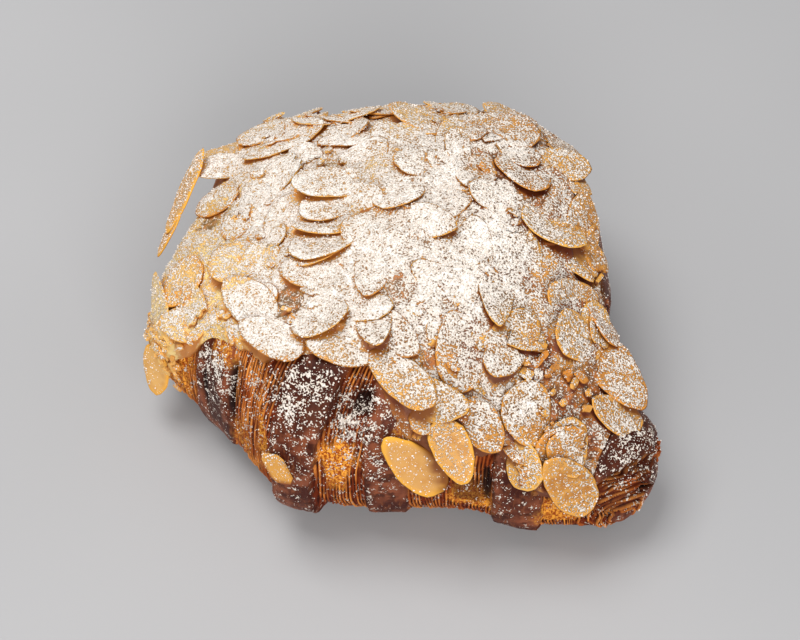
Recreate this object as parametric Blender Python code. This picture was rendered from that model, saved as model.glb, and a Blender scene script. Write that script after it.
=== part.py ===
"""Almond croissant: a baked croissant under a crust of almond cream and flaked almonds.

Two solids. The croissant is one piece of pastry, squashed flat on its base, with its
wraps and layered edges as relief. The almond topping is a lumpy sheet of baked almond
cream that lies on it, with the flaked almonds fused to it.

Tables are in millimetres and degrees; the meshes are in metres, +Z up, long axis on X.
"""
import math
import random

import bpy
import bmesh
from mathutils import Matrix, Vector, noise

MM = 0.001

# --- the pastry's own shape ------------------------------------------------------------
# Stations along the roll: place, middle of the section, its half width and its height.
STATIONS = (
    (-61, 14, 42, 47),
    (-48, 14, 45, 54),
    (-30, 9, 48, 60),
    (-8, 4, 59, 66),
    (10, 4, 61, 67),
    (28, 6, 59, 65),
    (44, 2, 51, 60),
    (57, -12, 37, 51),
    (69, -25, 20, 41),
    (82, -27, 17, 36),
)
LEFT_END = STATIONS[0][0]
RIGHT_END = STATIONS[-1][0]
MIDDLE = 0.5 * (LEFT_END + RIGHT_END)
HALF_LENGTH = 0.5 * (RIGHT_END - LEFT_END)
PLAN_CENTRE = (6.0, 3.4)      # middle of the finished outline, in the stations' axes
END_ROUNDING = (6.0, 4.0)     # left end blunt, right end rounder
SECTION_POWER = 2.9           # 2 is an ellipse, more is boxier
WAIST = 0.40                  # widest level, as a share of the height
SUNK_BASE = 3.0               # how far the round section is squashed flat
FRONT_SLANT = 0.20            # the wraps lean to the left as they come forward
BACK_SLANT = 0.04
END_CROWDING = 1.6            # rows lie closer together towards the two ends

# Smooth outer wraps: edges low on the front, edges at the shoulder, and their rise.
WRAPS = (
    (-37, -25, -35, -26, 1.6),
    (-5, 5, -11, 8, 3.6),
    (20, 29, 17, 26, 1.6),
    (51, 60, 48, 58, 2.0),
    (73, 90, 70, 90, 1.2),
)
WRAP_EDGE = 1.6               # width over which a wrap's edge steps down
SHOULDER_ANGLE = 50.0         # where a wrap has its upper width
LAYER_STEP = 0.45             # how unevenly the layered edges between wraps stand

ROWS_ALONG = 76
FRONT_COLUMNS = 13            # columns on the bare front, on the top and back, and below
TOP_COLUMNS = 9
BASE_COLUMNS = 6
FRONT_FROM = -30.0
TOP_FROM = 58.0
BASE_FROM = 205.0

# --- the topping -----------------------------------------------------------------------
TOPPING_LEFT = -60.2
TOPPING_RIGHT = 70.0
# Lower edge on the front and on the back: place along the roll, angle round the section.
FRONT_EDGE = (
    (-68, 8), (-50, 6), (-41, 16), (-34, 33), (-22, 39), (-10, 46), (0, 52), (9, 55),
    (16, 48), (22, 36), (30, 22), (38, 16), (46, 20), (50, 26), (56, 13), (64, 10), (70, 24),
)
BACK_EDGE = (
    (-68, 160), (-45, 172), (-25, 160), (-5, 174), (15, 163), (32, 166), (44, 140),
    (57, 118), (70, 102),
)
EDGE_WOBBLE = 3.0             # degrees
CREAM_RIM = 1.3
CREAM_THICK = 3.2
CREAM_TAPER = 9.0             # width of the thinning border
CREAM_LUMP = 0.9
CREAM_ROOT = 2.0              # how deep the sheet starts before the pastry is cut away
CREAM_ALONG = 34
CREAM_ACROSS = 14
SKIN_GAP = 0.3                # gap between topping and pastry
WELD = 0.0001                 # corners closer than this are one

# --- flaked almonds --------------------------------------------------------------------
FLAKE_SIDES = 9
FLAKE_THICK = 1.3
FLAKE_TAPER = 0.22            # how much narrower the pointed end is
FLAKE_SINK = 0.35             # how deep a flake's underside sits in the cream
# Flakes set by hand: place along, angle round, heading, length, width, lift of the side
# that faces the front, lift of the leading end, height over the cream.
SET_FLAKES = (
    (-56, 104, -14, 21, 10, -14, -23, 1.0), (-51, 89, 5, 17, 11, -12, 0, 0.8),
    (-40, 110, -135, 26, 14, -4, -3, 0.4), (-59, 91, 48, 27, 11, -16, 7, 3.5),
    (-59, 85, 54, 21, 12, -37, 12, 3.8), (-46, 117, 32, 20, 11, -5, -5, 0.4),
    (-19, 93, 27, 21, 13, 2, -20, 2.2), (-17, 90, 37, 18, 12, 3, -13, 0.8),
    (-16, 87, -150, 17, 10, -20, 12, 0.4), (-13, 83, 37, 19, 13, 16, -5, 0.9),
    (-13, 76, -158, 17, 12, -4, 8, 0.4), (-3, 64, 29, 17, 13, 20, 10, 1.0),
    (-32, 70, 51, 20, 14, 0, -15, 1.0), (-24, 58, 175, 20, 12, -1, 15, 1.4),
    (-13, 52, -172, 21, 11, -18, 10, 1.2), (5, 57, -171, 20, 11, -9, 12, 1.4),
    (-47, 53, -102, 17, 13, 2, 3, 0.4), (-42, 35, -163, 17, 10, -5, 13, 0.4),
    (-52, 0, -84, 17, 10, 18, 16, 2.3), (0, 93, 30, 15, 11, 12, 0, 0.8),
    (10, 90, -14, 18, 11, -22, 20, 1.4), (24, 88, 93, 21, 11, 2, 6, 0.4),
    (35, 80, -74, 22, 10, 5, 15, 1.0), (3, 80, -91, 19, 10, 5, 8, 0.4),
    (9, 67, -67, 21, 11, -3, 21, 0.8), (18, 124, -179, 27, 15, 9, -2, 0.4),
    (27, 113, -171, 12, 10, -4, -8, 0.4), (29, 107, -174, 17, 15, -12, 1, 0.4),
    (26, 96, 3, 19, 11, -1, -9, 0.4), (41, 97, 17, 21, 15, 15, 9, 1.2),
    (50, 91, 76, 20, 10, -22, -4, 0.4), (54, 88, 48, 20, 13, -3, -17, 1.2),
    (65, 102, 15, 24, 15, -18, 13, 1.7), (68, 90, -140, 21, 10, 7, 6, 1.3),
    (22, 49, 145, 23, 11, 3, -20, 1.5), (31, 43, -3, 20, 13, -18, 16, 2.0),
    (31, 13, 131, 27, 12, -14, 0, 0.8), (39, 24, -57, 21, 11, 0, 7, 1.0),
    (44, 37, -38, 17, 12, -25, 1, 1.8), (52, 52, -36, 18, 15, 11, -1, 0.4),
    (55, 31, 125, 17, 10, 23, 1, 0.4), (62, 52, -44, 18, 11, 1, -4, 0.4),
    (64, 29, 151, 26, 13, -8, 6, 1.5), (-5, 125, 174, 17, 13, 0, 19, 1.1),
    (3, 139, -174, 17, 13, 12, -2, 0.4), (20, 140, -2, 18, 11, -16, -10, 0.8),
)
FILL_SEED = 58
FILL_SPACING = 11.5           # a flake is not laid closer than this to another's middle
FILL_TRIES = 1400
FILL_LENGTH = (17.0, 24.0)
FILL_WIDTH = (0.52, 0.60)     # width as a share of the length
FILL_LIFT = 11.0
FILL_LEFT = -42.0             # the left end is cream, with only the flakes set by hand
FILL_RIGHT = 52.0
FILL_BORDER = 9.0             # degrees kept clear of the topping's lower edge in front
FILL_BACK_BORDER = 20.0

# A broken flake stuck to the widest wrap, bare of cream.
CHIP = (-3, 6, -70, 11, 7)
CHIP_HEIGHT = 0.5

CRUST_COLOUR = (0.19, 0.072, 0.036, 1.0)
CRUST_ROUGHNESS = 0.42
TOPPING_COLOUR = (0.86, 0.76, 0.64, 1.0)
TOPPING_ROUGHNESS = 0.75


def smoothstep(low, high, value):
    share = min(max((value - low) / (high - low), 0.0), 1.0)
    return share * share * (3.0 - 2.0 * share)


def through(table, place, column=1):
    """Smooth curve through one column of a table whose first column is the place."""
    place = min(max(place, table[0][0]), table[-1][0])
    last = len(table) - 1
    i = 0
    while i < last - 1 and place > table[i + 1][0]:
        i += 1

    def slope(k):
        before = max(k - 1, 0)
        after = min(k + 1, last)
        return (table[after][column] - table[before][column]) / (table[after][0] - table[before][0])

    gap = table[i + 1][0] - table[i][0]
    t = (place - table[i][0]) / gap
    rise = (2 * t - 3) * t * t
    curve = (rise + 1) * table[i][column] - rise * table[i + 1][column]
    curve += ((t - 2) * t + 1) * t * gap * slope(i)
    curve += (t - 1) * t * t * gap * slope(i + 1)
    return curve


def powered(value, power):
    return math.copysign(abs(value) ** power, value)


def skin(place, angle):
    """Point of the smooth pastry, in mm. Angle 0 faces front, 90 up, 180 back."""
    share = min(max((place - MIDDLE) / HALF_LENGTH, -1.0), 1.0)
    rounding = END_ROUNDING[0] if share < 0 else END_ROUNDING[1]
    end = (1.0 - abs(share) ** rounding) ** (1.0 / rounding)
    centre = through(STATIONS, place, 1)
    width = through(STATIONS, place, 2) * end
    height = through(STATIONS, place, 3)
    waist = WAIST * height
    out = powered(math.cos(math.radians(angle)), 2.0 / SECTION_POWER)
    up = powered(math.sin(math.radians(angle)), 2.0 / SECTION_POWER)
    y = -width * out
    z = waist + end * up * (height - waist if up > 0 else waist + SUNK_BASE)
    x = place + y * (FRONT_SLANT if y < 0 else BACK_SLANT)
    return Vector((x - PLAN_CENTRE[0], y + centre - PLAN_CENTRE[1], max(z, 0.0)))


def skin_frame(place, angle):
    """Point, direction along the roll, direction round it and outward normal."""
    place = min(max(place, LEFT_END + 0.4), RIGHT_END - 0.4)
    step = 0.25
    along = (skin(place + step, angle) - skin(place - step, angle)).normalized()
    round_ = skin(place, angle + 1.0) - skin(place, angle - 1.0)
    normal = along.cross(round_).normalized()
    return skin(place, angle), along, normal.cross(along), normal


def wrap_rise(place, angle):
    """Relief of the crust: smooth wraps stand proud, layered edges step between them."""
    up = smoothstep(0.0, SHOULDER_ANGLE, angle)
    rise = 0.0
    for low_left, low_right, high_left, high_right, height in WRAPS:
        left = low_left + (high_left - low_left) * up
        right = low_right + (high_right - low_right) * up
        inside = smoothstep(left - WRAP_EDGE, left, place)
        inside *= 1.0 - smoothstep(right, right + WRAP_EDGE, place)
        rise = max(rise, height * inside)
    layers = noise.noise(Vector((place * 0.9, 0.0, 3.0))) * LAYER_STEP * 2.0
    return rise + layers * (1.0 - min(rise, 1.0))


def crust_rise(place, angle):
    """The relief fades out under the topping and on the flat base."""
    front = through(FRONT_EDGE, place)
    back = through(BACK_EDGE, place)
    bare = 1.0 - smoothstep(front - 4.0, front + 10.0, angle)
    bare = max(bare, smoothstep(back - 10.0, back + 4.0, angle))
    if place > TOPPING_RIGHT:
        bare = 1.0
    base = 1.0 - smoothstep(198.0, 212.0, angle)
    base *= smoothstep(-32.0, -18.0, angle)
    return wrap_rise(place, angle) * bare * base


def turn_to_angle(turn):
    """Columns are spread unevenly: most of them lie on the bare front."""
    spans = (
        (FRONT_COLUMNS, FRONT_FROM, TOP_FROM),
        (TOP_COLUMNS, TOP_FROM, BASE_FROM),
        (BASE_COLUMNS, BASE_FROM, 360.0 + FRONT_FROM),
    )
    for count, first, last in spans:
        if turn <= count:
            return first + (last - first) * turn / count
        turn -= count
    return 360.0 + FRONT_FROM


def material(name, colour, roughness):
    made = bpy.data.materials.new(name)
    made.use_nodes = True
    shader = made.node_tree.nodes["Principled BSDF"]
    shader.inputs["Base Color"].default_value = colour
    shader.inputs["Roughness"].default_value = roughness
    shader.inputs["Metallic"].default_value = 0.0
    return made


def to_object(name, shape):
    """Turn a bmesh in millimetres into an object in metres, and free the bmesh."""
    bmesh.ops.scale(shape, vec=(MM, MM, MM), verts=shape.verts)
    mesh = bpy.data.meshes.new(name)
    shape.to_mesh(mesh)
    shape.free()
    made = bpy.data.objects.new(name, mesh)
    bpy.context.scene.collection.objects.link(made)
    return made


def pastry_mesh(swell=0.0):
    """The pastry, from a ball whose poles become the two ends of the roll."""
    columns = FRONT_COLUMNS + TOP_COLUMNS + BASE_COLUMNS
    shape = bmesh.new()
    bmesh.ops.create_uvsphere(shape, u_segments=columns, v_segments=ROWS_ALONG, radius=1.0)
    for vert in shape.verts:
        row = math.asin(min(max(vert.co.z, -1.0), 1.0)) / (0.5 * math.pi)
        share = math.copysign(1.0 - (1.0 - abs(row)) ** END_CROWDING, row)
        place = MIDDLE + HALF_LENGTH * share
        turn = round(math.atan2(-vert.co.y, vert.co.x) / (2.0 * math.pi) * columns) % columns
        angle = turn_to_angle(turn)
        rounded = angle if angle < 270.0 else angle - 360.0
        point, _, _, normal = skin_frame(place, rounded)
        rise = crust_rise(place, rounded)
        vert.co = point + normal * rise
        vert.co.z = max(vert.co.z, 0.0)
    bmesh.ops.triangulate(shape, faces=shape.faces)
    bmesh.ops.recalc_face_normals(shape, faces=shape.faces)
    if swell:
        shape.normal_update()
        moves = [(vert, vert.normal * swell) for vert in shape.verts]
        for vert, move in moves:
            vert.co += move
    return shape


def cream_edge(table, place, phase):
    return through(table, place) + EDGE_WOBBLE * noise.noise(Vector((place * 0.16, phase, 0.0)))


def cream_height(place, angle):
    """Thickness of the cream: a thin rim, then a lumpy sheet."""
    front = cream_edge(FRONT_EDGE, place, 0.0)
    back = cream_edge(BACK_EDGE, place, 7.0)
    inward = min(angle - front, back - angle)
    inward = min(inward, place - TOPPING_LEFT + 2.0, TOPPING_RIGHT - place)
    full = smoothstep(0.0, CREAM_TAPER, inward)
    lump = noise.noise(Vector((place * 0.11, angle * 0.08, 5.0)))
    return CREAM_RIM + (CREAM_THICK - CREAM_RIM + CREAM_LUMP * lump) * full


def cream_mesh():
    """The sheet of almond cream, rooted a little inside the pastry."""
    shape = bmesh.new()
    bmesh.ops.create_grid(shape, x_segments=CREAM_ALONG, y_segments=CREAM_ACROSS, size=1.0)
    roots = {}
    for vert in shape.verts:
        share_along = 0.5 * (vert.co.x + 1.0)
        share_across = 0.5 * (vert.co.y + 1.0)
        place = TOPPING_LEFT + (TOPPING_RIGHT - TOPPING_LEFT) * share_along
        front = cream_edge(FRONT_EDGE, place, 0.0)
        back = cream_edge(BACK_EDGE, place, 7.0)
        angle = front + (back - front) * share_across
        point, _, _, normal = skin_frame(place, angle)
        roots[vert.index] = point - normal * CREAM_ROOT
        vert.co = point + normal * cream_height(place, angle)
    count = len(shape.verts)
    order = list(shape.verts)
    made = bmesh.ops.extrude_face_region(shape, geom=shape.faces[:])
    lifted = [item for item in made["geom"] if isinstance(item, bmesh.types.BMVert)]
    top = {tuple(vert.co): vert for vert in lifted}
    for index in range(count):
        vert = order[index]
        if vert.is_valid and tuple(vert.co) in top:
            vert.co = roots[index]
    bmesh.ops.recalc_face_normals(shape, faces=shape.faces)
    return shape


def flake_mesh(place, angle, heading, length, width, side_lift, end_lift, height):
    """One flaked almond: an oval slice with one end more pointed."""
    shape = bmesh.new()
    bmesh.ops.create_circle(shape, cap_ends=True, segments=FLAKE_SIDES, radius=1.0)
    for vert in shape.verts:
        narrow = 1.0 - FLAKE_TAPER * vert.co.x
        vert.co.x *= 0.5 * length
        vert.co.y *= 0.5 * width * narrow
    made = bmesh.ops.extrude_face_region(shape, geom=shape.faces[:])
    raised = [item for item in made["geom"] if isinstance(item, bmesh.types.BMVert)]
    bmesh.ops.translate(shape, vec=(0.0, 0.0, FLAKE_THICK), verts=raised)
    bmesh.ops.recalc_face_normals(shape, faces=shape.faces)
    point, along, round_, normal = skin_frame(place, angle)
    point += normal * height
    seat = Matrix((along, round_, normal)).transposed().to_4x4()
    turn = Matrix.Rotation(math.radians(heading), 4, "Z")
    roll = Matrix.Rotation(math.radians(-side_lift), 4, "X")
    pitch = Matrix.Rotation(math.radians(-end_lift), 4, "Y")
    bmesh.ops.transform(
        shape, matrix=Matrix.Translation(point) @ seat @ turn @ pitch @ roll, verts=shape.verts
    )
    return shape


def fill_flakes():
    """Flakes strewn evenly over the cream, clear of the ones set by hand."""
    draw = random.Random(FILL_SEED)
    middles = [skin(flake[0], flake[1]) for flake in SET_FLAKES]
    strewn = []
    for _ in range(FILL_TRIES):
        place = draw.uniform(FILL_LEFT, FILL_RIGHT)
        front = through(FRONT_EDGE, place) + FILL_BORDER
        back = through(BACK_EDGE, place) - FILL_BACK_BORDER
        angle = draw.uniform(front, back)
        heading = draw.uniform(0.0, 360.0)
        length = draw.uniform(*FILL_LENGTH)
        width = length * draw.uniform(*FILL_WIDTH)
        side_lift = draw.uniform(-FILL_LIFT, FILL_LIFT)
        end_lift = draw.uniform(-FILL_LIFT, FILL_LIFT)
        middle = skin(place, angle)
        if min((middle - other).length for other in middles) < FILL_SPACING:
            continue
        middles.append(middle)
        strewn.append((place, angle, heading, length, width, side_lift, end_lift, 0.6))
    return strewn


def boolean(target, operation, operand=None, collection=None):
    """Run one exact Boolean on the target and keep its result as the target's mesh."""
    cut = target.modifiers.new(operation.lower(), "BOOLEAN")
    cut.operation = operation
    cut.solver = "EXACT"
    if collection:
        cut.operand_type = "COLLECTION"
        cut.collection = collection
    else:
        cut.object = operand
    bpy.context.view_layer.update()
    graph = bpy.context.evaluated_depsgraph_get()
    result = bpy.data.meshes.new_from_object(target.evaluated_get(graph))
    target.modifiers.clear()
    target.data = result


def keep_largest(target):
    """Drop loose scraps and sealed hollows: only the largest closed body stays."""
    shape = bmesh.new()
    shape.from_mesh(target.data)
    bmesh.ops.remove_doubles(shape, verts=shape.verts, dist=WELD * MM)
    bmesh.ops.dissolve_degenerate(shape, dist=WELD * MM, edges=shape.edges)
    bmesh.ops.triangulate(shape, faces=shape.faces)
    seen = set()
    groups = []
    for start in shape.faces:
        if start in seen:
            continue
        group = [start]
        seen.add(start)
        for face in group:
            for edge in face.edges:
                for other in edge.link_faces:
                    if other not in seen:
                        seen.add(other)
                        group.append(other)
        groups.append(group)
    groups.sort(key=len, reverse=True)
    for group in groups[1:]:
        bmesh.ops.delete(shape, geom=group, context="FACES")
    shape.to_mesh(target.data)
    shape.free()


def round_shading(target, angle):
    target.data.shade_smooth()
    target.data.set_sharp_from_angle(angle=math.radians(angle))


def cream_at(flake):
    """Height of a flake's underside over the pastry: the cream there, and its own lift."""
    return cream_height(flake[0], flake[1]) - FLAKE_SINK + flake[7]


def add_flakes(base, flakes):
    """Fuse flakes to a base with one union on a collection, then remove them."""
    scatter = bpy.data.collections.new("flakes")
    bpy.context.scene.collection.children.link(scatter)
    for number, (flake, height) in enumerate(flakes):
        shape = flake_mesh(*flake, height)
        made = to_object("flake_%03d" % number, shape)
        bpy.context.scene.collection.objects.unlink(made)
        scatter.objects.link(made)
    boolean(base, "UNION", collection=scatter)
    for made in list(scatter.objects):
        bpy.data.objects.remove(made)
    bpy.data.collections.remove(scatter)
    keep_largest(base)


def make_croissant():
    pastry = to_object("croissant", pastry_mesh())
    chip = CHIP + (0.0, 0.0)
    add_flakes(pastry, [(chip, wrap_rise(CHIP[0], CHIP[1]) - FLAKE_THICK + CHIP_HEIGHT)])
    pastry.data.materials.clear()
    pastry.data.materials.append(material("crust", CRUST_COLOUR, CRUST_ROUGHNESS))
    round_shading(pastry, 40.0)
    return pastry


def make_topping():
    topping = to_object("almond_topping", cream_mesh())
    flakes = SET_FLAKES + tuple(fill_flakes())
    add_flakes(topping, [(flake[:7], cream_at(flake)) for flake in flakes])
    cutter = to_object("pastry_cutter", pastry_mesh(SKIN_GAP))
    boolean(topping, "DIFFERENCE", operand=cutter)
    bpy.data.objects.remove(cutter)
    keep_largest(topping)
    topping.data.materials.clear()
    topping.data.materials.append(material("almond", TOPPING_COLOUR, TOPPING_ROUGHNESS))
    round_shading(topping, 30.0)
    return topping


for old in list(bpy.data.objects):
    bpy.data.objects.remove(old)
make_croissant()
make_topping()
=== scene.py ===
"""Almond croissant: finish of the pastry, the almond cream, the flaked almonds and the sugar.

Tables are in millimetres and degrees, as in the part's own source; meshes are in metres.
The pastry's skin is a function of two numbers: the place along the roll, and the angle
round it, where 0 faces the front, 90 is up and 180 faces the back.
"""
import math
import random

import bpy
import bmesh
import numpy as np
from mathutils import Matrix, Vector, noise
from mathutils.bvhtree import BVHTree
from mathutils.kdtree import KDTree


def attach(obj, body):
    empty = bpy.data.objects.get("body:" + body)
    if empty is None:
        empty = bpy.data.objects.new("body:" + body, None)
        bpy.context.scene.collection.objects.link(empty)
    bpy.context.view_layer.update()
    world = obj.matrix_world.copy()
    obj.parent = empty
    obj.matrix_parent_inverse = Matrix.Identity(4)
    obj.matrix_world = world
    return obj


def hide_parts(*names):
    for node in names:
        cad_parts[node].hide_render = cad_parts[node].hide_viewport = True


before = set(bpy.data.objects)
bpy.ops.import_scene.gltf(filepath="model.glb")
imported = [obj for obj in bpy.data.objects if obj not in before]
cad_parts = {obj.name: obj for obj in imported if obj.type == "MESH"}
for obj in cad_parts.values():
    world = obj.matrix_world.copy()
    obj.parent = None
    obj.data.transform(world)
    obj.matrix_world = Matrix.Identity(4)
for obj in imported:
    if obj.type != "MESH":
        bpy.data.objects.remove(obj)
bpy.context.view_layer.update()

MM = 0.001

# --- the pastry's shape, as the part has it ---------------------------------------------
STATIONS = (
    (-61, 14, 42, 47),
    (-48, 14, 45, 54),
    (-30, 9, 48, 60),
    (-8, 4, 59, 66),
    (10, 4, 61, 67),
    (28, 6, 59, 65),
    (44, 2, 51, 60),
    (57, -12, 37, 51),
    (69, -25, 20, 41),
    (82, -27, 17, 36),
)
LEFT_END = STATIONS[0][0]
RIGHT_END = STATIONS[-1][0]
MIDDLE = 0.5 * (LEFT_END + RIGHT_END)
HALF_LENGTH = 0.5 * (RIGHT_END - LEFT_END)
PLAN_CENTRE = (6.0, 3.4)
END_ROUNDING = (6.0, 4.0)
SECTION_POWER = 2.9
WAIST = 0.40
SUNK_BASE = 3.0
FRONT_SLANT = 0.20
BACK_SLANT = 0.04
END_CAP = 0.4                 # frames on the skin keep this far from its two ends
END_BULGE = 1.5               # how far the blunt ends bulge past that
HALF_STEP = 0.25              # half the step, along and round, that slopes are measured over
HALF_TURN = 1.0
BASE_FRONT = (-32.0, -18.0)   # angles over which the flat base turns into the sides
BASE_BACK = (198.0, 212.0)

# Smooth outer wraps: edges low on the front, edges at the shoulder, and their rise.
WRAPS = (
    (-37, -25, -35, -26, 1.6),
    (-5, 5, -11, 8, 3.6),
    (20, 29, 17, 26, 1.6),
    (51, 60, 48, 58, 2.0),
    (73, 90, 70, 90, 1.2),
)
# How far right of its edge the smooth skin of each begins, at the shoulder.
SKIN_SHIFT = (0.0, 6.5, 0.0, 0.0, 0.0)
WRAP_EDGE = 1.6
SHOULDER_ANGLE = 50.0
TIP_FROM = 70.0               # past this the cut layers of the free tip show

TOPPING_LEFT = -60.2
TOPPING_RIGHT = 70.0
FRONT_EDGE = (
    (-68, 8), (-50, 6), (-41, 16), (-34, 33), (-22, 39), (-10, 46), (0, 52), (9, 55),
    (16, 48), (22, 36), (30, 22), (38, 16), (46, 20), (50, 26), (56, 13), (64, 10), (70, 24),
)
BACK_EDGE = (
    (-68, 160), (-45, 172), (-25, 160), (-5, 174), (15, 163), (32, 166), (44, 140),
    (57, 118), (70, 102),
)
EDGE_WOBBLE = 3.0
FRONT_PHASE = 0.0             # which stretch of noise each edge of the cream follows
BACK_PHASE = 7.0
CREAM_RIM = 1.3
CREAM_THICK = 3.2
CREAM_TAPER = 9.0
CREAM_LUMP = 0.9

FLAKE_THICK = 1.3
FLAKE_TAPER = 0.22
FLAKE_SINK = 0.35
SET_FLAKES = (
    (-56, 104, -14, 21, 10, -14, -23, 1.0), (-51, 89, 5, 17, 11, -12, 0, 0.8),
    (-40, 110, -135, 26, 14, -4, -3, 0.4), (-59, 91, 48, 27, 11, -16, 7, 3.5),
    (-59, 85, 54, 21, 12, -37, 12, 3.8), (-46, 117, 32, 20, 11, -5, -5, 0.4),
    (-19, 93, 27, 21, 13, 2, -20, 2.2), (-17, 90, 37, 18, 12, 3, -13, 0.8),
    (-16, 87, -150, 17, 10, -20, 12, 0.4), (-13, 83, 37, 19, 13, 16, -5, 0.9),
    (-13, 76, -158, 17, 12, -4, 8, 0.4), (-3, 64, 29, 17, 13, 20, 10, 1.0),
    (-32, 70, 51, 20, 14, 0, -15, 1.0), (-24, 58, 175, 20, 12, -1, 15, 1.4),
    (-13, 52, -172, 21, 11, -18, 10, 1.2), (5, 57, -171, 20, 11, -9, 12, 1.4),
    (-47, 53, -102, 17, 13, 2, 3, 0.4), (-42, 35, -163, 17, 10, -5, 13, 0.4),
    (-52, 0, -84, 17, 10, 18, 16, 2.3), (0, 93, 30, 15, 11, 12, 0, 0.8),
    (10, 90, -14, 18, 11, -22, 20, 1.4), (24, 88, 93, 21, 11, 2, 6, 0.4),
    (35, 80, -74, 22, 10, 5, 15, 1.0), (3, 80, -91, 19, 10, 5, 8, 0.4),
    (9, 67, -67, 21, 11, -3, 21, 0.8), (18, 124, -179, 27, 15, 9, -2, 0.4),
    (27, 113, -171, 12, 10, -4, -8, 0.4), (29, 107, -174, 17, 15, -12, 1, 0.4),
    (26, 96, 3, 19, 11, -1, -9, 0.4), (41, 97, 17, 21, 15, 15, 9, 1.2),
    (50, 91, 76, 20, 10, -22, -4, 0.4), (54, 88, 48, 20, 13, -3, -17, 1.2),
    (65, 102, 15, 24, 15, -18, 13, 1.7), (68, 90, -140, 21, 10, 7, 6, 1.3),
    (22, 49, 145, 23, 11, 3, -20, 1.5), (31, 43, -3, 20, 13, -18, 16, 2.0),
    (31, 13, 131, 27, 12, -14, 0, 0.8), (39, 24, -57, 21, 11, 0, 7, 1.0),
    (44, 37, -38, 17, 12, -25, 1, 1.8), (52, 52, -36, 18, 15, 11, -1, 0.4),
    (55, 31, 125, 17, 10, 23, 1, 0.4), (62, 52, -44, 18, 11, 1, -4, 0.4),
    (64, 29, 151, 26, 13, -8, 6, 1.5), (-5, 125, 174, 17, 13, 0, 19, 1.1),
    (3, 139, -174, 17, 13, 12, -2, 0.4), (20, 140, -2, 18, 11, -16, -10, 0.8),
)
# The flakes at the top left corner hang nearly free: rows of the table, and how they lie.
LOOSE_FLAKES = {
    0: (-54, 99, -166, 18, 11, 13, 35, 2.9), 1: (-51, 89, 5, 17, 11, -12, 0, 0.2),
    3: (-58, 92, 44, 28, 10, -13, 8, 6.9), 4: (-60, 83, -109, 19, 12, 18, -4, 5.3),
}
CORNER_FLAKE = (-56, 115, -163, 17, 11, 11, 35, 2.3)
# Rows of the table that took little sugar, and how little.
BARE_FLAKES = {3: 0.45, 4: 0.50, 16: 0.2, 18: 0.35, 36: 0.84, 37: 0.36, 46: 0.3}
FILL_SEED = 58
FILL_SPACING = 11.5
FILL_TRIES = 1400
FILL_LENGTH = (17.0, 24.0)
FILL_WIDTH = (0.52, 0.60)
FILL_LIFT = 11.0
FILL_LEFT = -42.0
FILL_RIGHT = 52.0
FILL_BORDER = 9.0
FILL_BACK_BORDER = 20.0
FILL_SEAT = 0.6
CHIP = (-3, 6, -70, 11, 7)
CHIP_HEIGHT = 0.5

# --- finer detail than the part's solids -------------------------------------------------
PASTRY_ROWS = 840
PASTRY_COLUMNS = ((60, -30.0, 58.0), (26, 58.0, 205.0), (12, 205.0, 330.0))
PASTRY_CROWDING = 1.15
LAYER_PITCH = 1.00            # from one cut layer to the next
LAYER_GROOVE = 0.75
LAYER_RAGGED = 0.50
LAYER_LEVELS = 400            # how many sheets have a level of their own
RUN_STEPS = 4000              # the distance run along the skin is measured in this many steps
RUN_ANGLE = 25.0
EDGE_RAGGED = 0.9             # how much a wrap's edge wanders
TIP_CENTRE = (70.7, -41.8, 12.5)   # middle of the rolled layers at the free end
TIP_REACH = 19.5              # how far those layers reach from it
TIP_PITCH = 1.25
TIP_LIP = 0.9                 # the dark crust over them stands out this far
TIP_CORE = (2.5, 4.0)         # the innermost roll is smooth again
TIP_CRUST_END = (79.6, 80.4)
SLIT_SLANT = 0.03
# Marks on the bare crust: place, angle, half width in mm, half height in degrees, share.
SLITS = (
    (-24.3, 17, 1.3, 15, 2.8), (-34.0, 8, 1.0, 9, 1.2), (15.2, 38, 2.8, 6, 2.6),
    (48.5, 6, 1.2, 9, 1.5), (66.5, 4, 1.0, 9, 1.0), (81.6, 36, 0.9, 9, 2.2),
)
BURNT = (
    (-31, 8, 4.5, 14, 1.0), (1, 38, 10, 16, 1.0), (15, 38, 4, 8, 1.0), (45, 1, 4, 6, 0.9),
    (75, 74, 11, 30, 1.0), (76, 24, 10, 26, 0.6), (56, 14, 5, 9, 0.6), (-23, 20, 2, 18, 0.8),
    (60, 120, 9, 16, 0.7), (-60, 70, 4, 40, 0.8),
)
GOLDEN = (
    (-28.5, 32, 4, 8, 1.0), (-10, 12, 2.6, 13, 0.8), (12, 10, 5, 10, 1.0), (45, -4, 5, 7, 0.8),
    (65, -4, 6, 9, 0.8), (-50, 12, 10, 22, 1.0), (-20, -2, 4, 9, 0.5), (30, 30, 5, 10, 0.8),
    (57, 112, 3, 9, 0.6),
)
# Toasted hollows between the flakes, in the same columns.
HOLLOWS = (
    (-14, 66, 5, 7, 1.0), (20, 106, 7, 6, 0.9), (11, 76, 5, 5, 0.6), (50, 104, 5, 9, 0.9),
    (48, 74, 5, 8, 0.6), (58, 70, 6, 14, 0.6), (-50, 84, 4, 6, 0.7),
    (33, 104, 5, 6, 0.7), (28, 60, 4, 6, 0.5), (-22, 100, 4, 5, 0.6), (62, 84, 5, 12, 0.7),
    (65, 30, 7, 12, 1.0), (56, 46, 5, 8, 0.7), (40, 26, 4, 8, 0.5), (66, 62, 5, 9, 0.8),
    (52, 122, 9, 12, 0.7),
)
HOLLOW_DEPTH = 1.5            # how far the cream sinks there
CREAM_GRID = (250, 178)
CREAM_DRIFT = 1.3             # deeper cream and sugar between the flakes of the middle
DRIFT_MIDDLE = (18.0, 88.0)
DRIFT_SPREAD = (32.0, 38.0)
CREAM_ROOT = 0.8              # how deep the cream's underside lies in the pastry
CREAM_LIP = 0.15              # how high its border stands

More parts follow.
